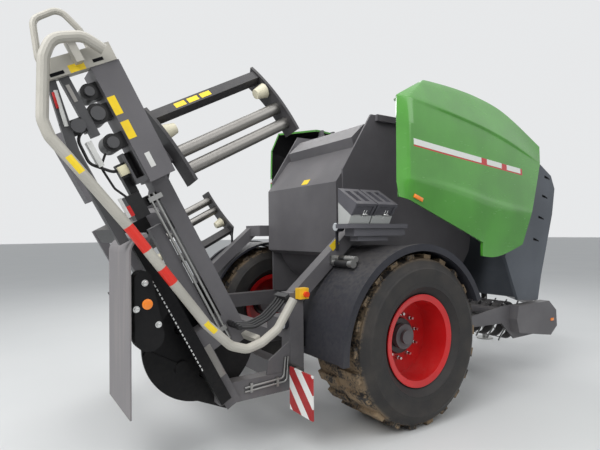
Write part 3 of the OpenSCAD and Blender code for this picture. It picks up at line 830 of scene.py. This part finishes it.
@dataclass
class Chassis:
    """Frame, axle, drawbar, jack, fenders, racks, boards and lamps."""

    stay_y: float = 0.960
    grey: tuple[str, ...] = ("chassis_frame", "axle_beam", "drawbar")
    moulded: tuple[str, ...] = ("fender_right", "fender_left", "lamps")

    def build(self) -> None:
        """Dress the chassis and add its small parts."""
        SHOP.dress(GREY, *self.grey)
        SHOP.dress(RACK, "film_rack_right")
        SHOP.dress(ZINC, "hydraulics", "jack_leg")
        SHOP.dress(BLACK, "gearbox", "jack_sleeve")
        SHOP.dress(MOULDED, *self.moulded)
        SHOP.dress(BOARD, "marker_right", "marker_left")
        SHOP.dress(STOP, "stop_box")
        for side in Side:
            self._lenses(side)
        self._stickers()
        self._springs()
        self._filter()

    def _lenses(self, side: Side) -> None:
        """Add the lenses of one side's lamps."""
        s, word = side.value, side.word
        lens = Solid()
        lens.rod((-0.980, s * 0.920, 0.850), (-0.987, s * 0.920, 0.850), 0.040, 32, end_radius=0.030)
        lens.rod((-0.535, s * 1.005, 1.568), (-0.541, s * 1.005, 1.568), 0.033, 32, end_radius=0.026)
        lens.finish(f"lamp_lenses_{word}", "chassis", "aluminium", LENS)

    def _stickers(self) -> None:
        """Add the blank stickers outside the right stay and inside the left one."""
        sticker = Solid()
        sticker.box((-0.555, -self.stay_y - 0.001, 1.400), (-0.465, -self.stay_y + 0.001, 1.455), turn=-0.70)
        sticker.box((-0.266, 0.8588, 1.535), (-0.215, 0.8605, 1.605))
        sticker.finish("stay_stickers", "chassis", "yellow_plastic", YELLOW)

    def _springs(self) -> None:
        """Add the wire springs that hold the right rack's lids."""
        wire = Solid()
        for x in (-0.415, -0.195):
            for dx in (-0.012, 0.012):
                wire.rod((x + dx, -1.268, 1.752), (x + dx - 0.012, -1.228, 1.668), 0.0025, 8)
            wire.rod((x - 0.036, -1.226, 1.660), (x + 0.012, -1.226, 1.660), 0.009, 16, bevel=0.001)
            wire.rod((x - 0.016, -1.226, 1.660), (x - 0.030, -1.210, 1.632), 0.0025, 8)
        wire.finish("lid_springs", "chassis", "zinc", CHROME)

    def _filter(self) -> None:
        """Add the dark sleeves of the oil filters."""
        sleeve = Solid()
        sleeve.rod((-0.532, -1.010, 1.285), (-0.532, -1.165, 1.285), 0.0272, 32, bevel=0.002)
        sleeve.rod((-0.500, -1.020, 1.322), (-0.500, -1.090, 1.322), 0.0242, 32, bevel=0.002)
        sleeve.finish("filter_sleeves", "chassis", "black_paint", HOSE)


@dataclass
class Chamber:
    """Bale chamber, tailgate, cowl and roof."""

    cowl_y: float = 1.200
    slots: tuple[tuple[float, float], ...] = ((2.248, 2.093), (2.195, 1.884), (2.112, 1.655), (2.005, 1.422))

    def build(self) -> None:
        """Dress the chamber and add the tailgate's sticker and the dark patches that paint the shade inside
        the cowl's slots.
        """
        SHOP.dress(GREY, "chamber_walls", "chamber_shell", "tailgate_shell", "tailgate_cover")
        SHOP.dress(BLACK, "front_roof")
        SHOP.dress(COWL, "front_cowl")
        for side in Side:
            y0, y1 = side.span(self.cowl_y - 0.001, self.cowl_y + 0.001)
            # Thin near-black patches on the cowl's face: painted shade standing for the insides of the
            # vents.
            dark = Solid()
            for x, z in self.slots:
                dark.box((x - 0.052, y0, z - 0.004), (x + 0.052, y1, z + 0.010), turn=0.32)
                dark.box((x - 0.052, y0, z - 0.006), (x + 0.010, y1, z + 0.016), turn=0.16)
            dark.finish(f"cowl_slot_shade_{side.word}", "chassis", "grey_plastic", SLOT_SHADE)
        sticker = Solid()
        sticker.box((-0.1785, -0.135, 1.995), (-0.1755, -0.030, 2.060), turn=0.669)
        sticker.finish("tailgate_sticker", "tailgate", "yellow_plastic", YELLOW)


# Columns of the hoods' surface as (X, |Y|, Z), from the rear edge forward. Each runs from the
# inner top edge over the ridge and the top crease, down to the low ridge and the bottom edge.
Column = tuple[Point, ...]
RIGHT_REAR: tuple[Column, ...] = (
    ((0.400, 0.735, 2.790), (0.300, 0.990, 2.786), (0.235, 1.205, 2.800), (-0.140, 1.300, 2.606),
     (-0.160, 1.310, 2.400), (-0.165, 1.312, 2.200), (-0.170, 1.314, 1.920), (-0.165, 1.335, 1.800)),
    ((0.430, 0.735, 2.800), (0.320, 0.990, 2.806), (0.275, 1.215, 2.822), (-0.045, 1.350, 2.588),
     (-0.075, 1.378, 2.400), (-0.095, 1.386, 2.200), (-0.095, 1.388, 1.935), (-0.080, 1.365, 1.775)),
    ((0.620, 0.735, 2.796), (0.610, 1.000, 2.808), (0.600, 1.218, 2.822), (0.360, 1.356, 2.545),
     (0.360, 1.384, 2.380), (0.360, 1.392, 2.160), (0.370, 1.394, 1.895), (0.380, 1.370, 1.600)),
)
LEFT_REAR: tuple[Column, ...] = (
    ((0.545, 0.735, 2.796), (0.400, 1.000, 2.800), (0.290, 1.205, 2.806), (0.245, 1.320, 2.590),
     (0.240, 1.330, 2.400), (0.240, 1.335, 2.200), (0.240, 1.340, 1.900), (0.240, 1.345, 1.660)),
    ((0.580, 0.735, 2.798), (0.480, 1.000, 2.806), (0.400, 1.215, 2.818), (0.310, 1.352, 2.560),
     (0.310, 1.382, 2.380), (0.310, 1.388, 2.180), (0.310, 1.390, 1.890), (0.310, 1.367, 1.630)),
    ((0.690, 0.735, 2.792), (0.660, 1.000, 2.806), (0.640, 1.220, 2.820), (0.500, 1.358, 2.520),
     (0.500, 1.386, 2.350), (0.500, 1.393, 2.130), (0.500, 1.394, 1.870), (0.500, 1.368, 1.555)),
)
FRONT: tuple[Column, ...] = (
    ((0.880, 0.735, 2.770), (0.890, 1.000, 2.786), (0.900, 1.228, 2.796), (0.800, 1.362, 2.475),
     (0.820, 1.388, 2.320), (0.830, 1.394, 2.100), (0.840, 1.395, 1.800), (0.845, 1.365, 1.425)),
    ((0.950, 0.735, 2.762), (0.975, 1.000, 2.776), (1.010, 1.232, 2.776), (0.900, 1.365, 2.455),
     (0.900, 1.390, 2.300), (0.890, 1.394, 2.080), (0.880, 1.394, 1.790), (0.860, 1.350, 1.300)),
    ((1.130, 1.150, 2.738), (1.150, 1.195, 2.745), (1.190, 1.242, 2.742), (1.090, 1.370, 2.412),
     (1.080, 1.391, 2.255), (1.060, 1.395, 2.050), (1.030, 1.394, 1.765), (0.990, 1.350, 1.280)),
    ((1.400, 1.248, 2.646), (1.410, 1.256, 2.652), (1.420, 1.272, 2.654), (1.320, 1.378, 2.352),
     (1.300, 1.391, 2.200), (1.270, 1.395, 2.020), (1.220, 1.393, 1.740), (1.160, 1.350, 1.290)),
    ((1.835, 1.338, 2.362), (1.835, 1.343, 2.366), (1.830, 1.350, 2.370), (1.795, 1.372, 2.200),
     (1.755, 1.378, 2.100), (1.700, 1.383, 1.950), (1.615, 1.383, 1.700), (1.480, 1.360, 1.390)),
)


@dataclass
class Hoods:
    """The two tall side hoods, each a curved shell with a dark lining."""

    thickness: float = 0.022
    levels: int = 3
    recess: float = 0.014
    shelf: float = 0.16
    ridges: dict[int, float] = field(default_factory=lambda: {2: 0.70, 3: 0.85, 4: 0.75, 7: 0.60, 8: 0.70})
    rear_crease: float = 0.85
    corners: tuple[tuple[int, int], ...] = (
        (0, 0), (0, 2), (0, 3), (0, 9), (3, 9), (4, 9), (7, 0), (7, 2), (7, 9)
    )
    lugs: tuple[float, ...] = (0.606, 0.776)

    def build(self) -> None:
        """Build both hoods, their hinges and the right one's amber reflector."""
        self._shell(Side.RIGHT, RIGHT_REAR + FRONT)
        self._shell(Side.LEFT, LEFT_REAR + FRONT)
        for side in Side:
            hinges = Solid()
            for x in self.lugs:
                y0, y1 = side.span(0.686, 0.760)
                hinges.box((x, y0, 2.682), (x + 0.030, y1, 2.790), bevel=0.004)
            hinges.finish(f"hood_hinges_{side.word}", f"hood_{side.word}", "grey_paint", GREY)
        amber = Solid()
        amber.box((-0.045, -1.384, 1.775), (0.055, -1.372, 1.806), bevel=0.002, turn=0.34)
        amber.finish("hood_reflector", "hood_right", "yellow_plastic", AMBER)

    def _panelled(self, column: Column, inner: bool) -> Column:
        """Add the two edges of the sunken side panel to a column.

        Args:
            column: The column's points.
            inner: Whether the column crosses the panel.

        Returns:
            The column with a point more under the crease and over the low ridge.
        """
        sink = Vector((0.0, self.recess if inner else 0.0, 0.0))
        crease, high, middle, ridge = (Vector(point) for point in column[3:7])
        upper, lower = crease.lerp(high, self.shelf), ridge.lerp(middle, self.shelf)
        panel = tuple(tuple(point - sink) for point in (upper, high, middle, lower))
        return column[:4] + panel + column[6:]

    def _shell(self, side: Side, plain: tuple[Column, ...]) -> None:
        """Build one hood on a grid of columns.

        Args:
            side: The machine's side.
            plain: The places of the grid's points, without the sunken panel.
        """
        last = len(plain) - 1
        columns = [self._panelled(column, 1 < i < last) for i, column in enumerate(plain)]
        solid = Solid()
        mesh = solid.mesh
        across, down = len(columns) - 1, len(columns[0]) - 1
        bmesh.ops.create_grid(mesh, x_segments=across, y_segments=down, size=1.0)
        edge_crease = mesh.edges.layers.float.new("crease_edge")
        vert_crease = mesh.verts.layers.float.new("crease_vert")
        at = {v: (round((v.co.x + 1) * across / 2), round((v.co.y + 1) * down / 2)) for v in mesh.verts}
        for vert, (i, j) in at.items():
            x, y, z = columns[i][j]
            vert.co = AXLE @ Vector((x, side.value * y, z))
            vert[vert_crease] = 1.0 if (i, j) in self.corners else 0.0
        for edge in mesh.edges:
            (i0, j0), (i1, j1) = (at[v] for v in edge.verts)
            if len(edge.link_faces) == 1:
                edge[edge_crease] = 1.0
            elif j0 == j1:
                edge[edge_crease] = self.ridges.get(j0, 0.0)
            elif i0 == i1 == 1 and min(j0, j1) >= 2:
                edge[edge_crease] = self.rear_crease
        name = f"hood_{side.word}"
        piece = solid.finish(f"hood_shell_{side.word}", name, "green_paint", GREEN, LINING)
        if sum(face.normal.y * face.area for face in piece.data.polygons) * side.value < 0:
            piece.data.flip_normals()
        smooth = piece.modifiers.new("curve", "SUBSURF")
        smooth.levels = smooth.render_levels = self.levels
        wall = piece.modifiers.new("wall", "SOLIDIFY")
        wall.thickness = self.thickness
        wall.offset = -1.0
        wall.material_offset = 1
        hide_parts(name)


@dataclass
class Pickup:
    """Pickup frame and reel."""

    def build(self) -> None:
        """Dress the pickup."""
        SHOP.dress(GREY, "pickup_frame")
        SHOP.dress(ZINC, "pickup_reel")
        amber = Solid()
        amber.box((2.190, -1.246, 0.553), (2.250, -1.238, 0.583), bevel=0.002)
        amber.finish("pickup_reflector", "pickup", "yellow_plastic", AMBER)


@dataclass
class Wrapper:
    """The folded wrapper: columns, heads, bow, drive and table."""

    head_y: float = 1.150
    cover_y: float = 1.140
    bolts: tuple[tuple[float, float], ...] = ((-0.138, 1.008), (-0.250, 0.900), (-0.186, 0.752))
    reflector: tuple[float, float] = (-0.184, 0.892)

    def build(self) -> None:
        """Dress the wrapper and add its small parts."""
        SHOP.dress(GREY, "wrapper_frame", "wrapper_head")
        SHOP.dress(BOW, "guard_bow")
        SHOP.dress(HEAD, "wrapper_drive")
        SHOP.dress(BLACK, "table_frame")
        SHOP.dress(ZINC, "wrapper_pipes")
        SHOP.dress(HOSE, "wrapper_hoses")
        # The covers' finish is darkened as painted shade.
        SHOP.dress(SHADED_COVER, "table_covers")
        SHOP.dress(BLACK, "roller_front", "roller_rear")
        SHOP.dress(FLAP, "table_flap")
        for side in Side:
            self._stickers(side)
        self._trims()
        self._plate()
        self._cover()
        self._rail()

    def _stickers(self, side: Side) -> None:
        """Add the blank stickers and labels of one upper box."""
        word = side.word
        y0, y1 = side.span(self.head_y, self.head_y + 0.001)
        yellow = Solid(WRAPPER)
        yellow.box((0.170, y0, 1.920), (0.216, y1, 2.026)).box((0.172, y0, 1.775), (0.222, y1, 1.879))
        yellow.finish(f"head_stickers_{word}", "wrapper", "yellow_plastic", YELLOW)
        label = Solid(WRAPPER)
        label.box((0.212, y0, 1.584), (0.244, y1, 1.673))
        label.finish(f"head_label_{word}", "wrapper", "pale_paint", WHITE)

    def _trims(self) -> None:
        """Add the pale roll, strips, plates and cast block of the right head's drive."""
        pale = Solid(WRAPPER)
        pale.rod((-0.050, -1.134, 2.148), (-0.090, -1.134, 1.960), 0.0105, bevel=0.001)
        pale.box((-0.036, -1.108, 1.700), (-0.006, -1.052, 1.850), bevel=0.001)
        pale.box((-0.030, -1.085, 1.375), (-0.010, -1.078, 1.500))
        pale.finish("head_plates", "wrapper", "pale_paint", WHITE)
        strip = Solid(WRAPPER)
        strip.box((0.010, -1.1275, 2.062), (0.030, -1.1245, 2.158))
        strip.finish("head_strips", "wrapper", "aluminium", ROLLER)
        red = Solid(WRAPPER)
        red.rod((-0.064, -1.132, 2.142), (-0.082, -1.132, 2.060), 0.0085, bevel=0.001)
        red.box((-0.010, -1.085, 1.375), (0.014, -1.078, 1.440))
        red.finish("head_red", "wrapper", "red_paint", PLAIN_RED)
        block = Solid(WRAPPER)
        block.box((0.044, -1.130, 1.604), (0.098, -1.095, 1.662), bevel=0.003)
        block.finish("valve_block", "wrapper", "aluminium", CREAM)

    def _plate(self) -> None:
        """Add the blank sticker of the pale plate over the right box and the dark patches that paint the
        shade inside its slots.
        """
        y = -self.head_y - 0.008
        # Thin near-black patches where the plate's slots are: painted shade, not cut holes.
        slots = Solid(WRAPPER)
        for x0, x1, z in ((-0.044, 0.031, 2.218), (0.195, 0.255, 2.226)):
            slots.box((x0, y - 0.0008, z - 0.009), (x1, y + 0.004, z + 0.009))
        slots.finish("plate_slot_shade", "wrapper", "black_paint", SLOT_SHADE)
        sticker = Solid(WRAPPER)
        sticker.box((0.060, y - 0.001, 2.200), (0.146, y + 0.001, 2.241))
        sticker.finish("plate_sticker", "wrapper", "yellow_plastic", YELLOW)

    def _cover(self) -> None:
        """Add the bolts and the amber reflector of the chain cover."""
        nuts = Solid(WRAPPER)
        for x, z in self.bolts:
            nuts.bolt((x, -self.cover_y, z), (0, -1, 0), 0.026)
        nuts.finish("cover_bolts", "wrapper", "zinc", CHROME)
        amber = Solid(WRAPPER)
        x, z = self.reflector
        amber.rod((x, -self.cover_y, z), (x, -self.cover_y - 0.006, z), 0.031, 32, bevel=0.002)
        amber.finish("cover_reflector", "wrapper", "yellow_plastic", AMBER)

    def _rail(self) -> None:
        """Add the row of chain pins along the right rail and the plain plate beside it."""
        pins = Solid(WRAPPER)
        count = 24
        for i in range(count):
            z = 0.31 + 0.69 * i / (count - 1)
            pins.box((-0.0815, -1.052, z - 0.009), (-0.074, -1.049, z + 0.009))
        pins.finish("chain_pins", "wrapper", "zinc", CHROME)
        plate = Solid(WRAPPER)
        plate.box((0.002, -1.003, 0.160), (0.056, -0.999, 0.405), bevel=0.001)
        plate.finish("leg_plate", "wrapper", "aluminium", ROLLER)


@dataclass
class Rotor:
    """The rotor with its two film dispensers."""

    arm: tuple[float, float] = (-0.880, 0.630)

    def build(self) -> None:
        """Dress the rotor and add the stickers of its arms."""
        SHOP.dress(GREY, "rotor_arms")
        SHOP.dress(DISPENSER, "dispenser_right", "dispenser_left")
        SHOP.dress(ROLLER, "stretch_right", "stretch_left")
        for word, place in (("right", ROTOR), ("left", OTHER_ARM)):
            along = Matrix.Rotation(-math.atan2(self.arm[1], -self.arm[0]), 4, "X")
            turned = place @ Matrix.Translation((0, *self.arm)) @ along
            yellow = Solid(turned)
            for x in (0.62, 0.72, 0.82):
                yellow.box((x, -0.0358, -0.02), (x + 0.08, -0.0348, 0.02))
            yellow.finish(f"arm_stickers_{word}", "rotor", "yellow_plastic", YELLOW)


@dataclass
class Studio:
    """Floor, light and the camera of the photograph."""

    focal: float = 460.0
    width: float = 600.0
    yaw: float = 56.2
    pitch: float = 0.9
    roll: float = 0.6
    eye: Point = (-2.78, -3.86, 1.53)
    lights: tuple[tuple[Point, float, float], ...] = field(
        default_factory=lambda: (
            ((-6.5, -3.0, 6.0), 5.0, 500.0),
            ((1.5, -7.0, 6.5), 6.0, 190.0),
            ((3.0, 5.5, 6.0), 5.0, 220.0),
            ((-1.0, 0.0, 8.0), 6.0, 220.0),
        )
    )

    def build(self) -> None:
        """Make the floor, the lights, the world and the camera."""
        self._floor()
        self._world()
        for i, (at, size, power) in enumerate(self.lights):
            self._light(i, at, size, power)
        self._camera()
        bpy.context.scene.view_settings.view_transform = "Standard"

    def _floor(self) -> None:
        """Lay a plain pale floor."""
        mesh = bmesh.new()
        bmesh.ops.create_grid(mesh, x_segments=1, y_segments=1, size=90.0)
        data = bpy.data.meshes.new("floor")
        mesh.to_mesh(data)
        mesh.free()
        floor = bpy.data.objects.new("floor", data)
        bpy.context.scene.collection.objects.link(floor)
        material, g = new_material("pale_floor")
        cloud = g.noise(0.6, 4.0)
        g.surface(g.mix(cloud, (0.60, 0.61, 0.61), (0.66, 0.665, 0.66)), 0.55)
        data.materials.append(material)

    def _world(self) -> None:
        """Give the world a pale backdrop and an even light."""
        world = bpy.data.worlds.new("studio")
        bpy.context.scene.world = world
        world.use_nodes = True
        g = Graph(world.node_tree)
        path = g.node("ShaderNodeLightPath", output="Is Camera Ray")
        rays = [Sock(g, path.socket.node.outputs[f"Is {kind} Ray"]) for kind in ("Glossy", "Transmission")]
        seen = path + rays[0] + rays[1]
        backdrop = g.node("ShaderNodeBackground", {}, {"Color": (0.80, 0.81, 0.82, 1.0), "Strength": 1.0})
        light = g.node("ShaderNodeBackground", {}, {"Color": (0.92, 0.96, 1.0, 1.0), "Strength": 0.42})
        shown = g.node("ShaderNodeMixShader", {}, {0: seen, 1: light, 2: backdrop})
        g.node("ShaderNodeOutputWorld", {}, {"Surface": shown})

    @staticmethod
    def _light(number: int, at: Point, size: float, power: float) -> None:
        """Hang one soft light that points at the machine.

        Args:
            number: Its number, for the name.
            at: Where it hangs.
            size: Side of its square.
            power: Watts.
        """
        data = bpy.data.lights.new(f"soft_{number}", "AREA")
        data.size = size
        data.energy = power
        lamp = bpy.data.objects.new(f"soft_{number}", data)
        lamp.location = at
        way = Vector((-0.3, 0.0, 1.2)) - Vector(at)
        lamp.rotation_euler = way.to_track_quat("-Z", "Y").to_euler()
        bpy.context.scene.collection.objects.link(lamp)

    def _camera(self) -> None:
        """Stand the camera at the photograph's angle."""
        yaw, pitch, roll = (math.radians(a) for a in (self.yaw, self.pitch, self.roll))
        ahead = Vector((math.cos(pitch) * math.cos(yaw), math.cos(pitch) * math.sin(yaw), math.sin(pitch)))
        level = Vector((math.sin(yaw), -math.cos(yaw), 0.0))
        above = level.cross(ahead)
        right = level * math.cos(roll) - above * math.sin(roll)
        up = level * math.sin(roll) + above * math.cos(roll)
        data = bpy.data.cameras.new("camera")
        data.sensor_width = 36.0
        data.lens = 36.0 * self.focal / self.width
        data.clip_end = 300.0
        camera = bpy.data.objects.new("camera", data)
        turn = Matrix((right, up, -ahead)).transposed().to_4x4()
        camera.matrix_world = AXLE @ Matrix.Translation(self.eye) @ turn
        bpy.context.scene.collection.objects.link(camera)
        bpy.context.scene.camera = camera


def main() -> None:
    """Build the looks, sub-assembly by sub-assembly."""
    logging.basicConfig(level=logging.INFO, format="%(name)s: %(message)s")
    for assembly in (Studio(), WheelSet(), Chassis(), Chamber(), Hoods(), Pickup(), Wrapper(), Rotor()):
        log.info("building %s", type(assembly).__name__)
        assembly.build()


if __name__ == "__main__":
    main()
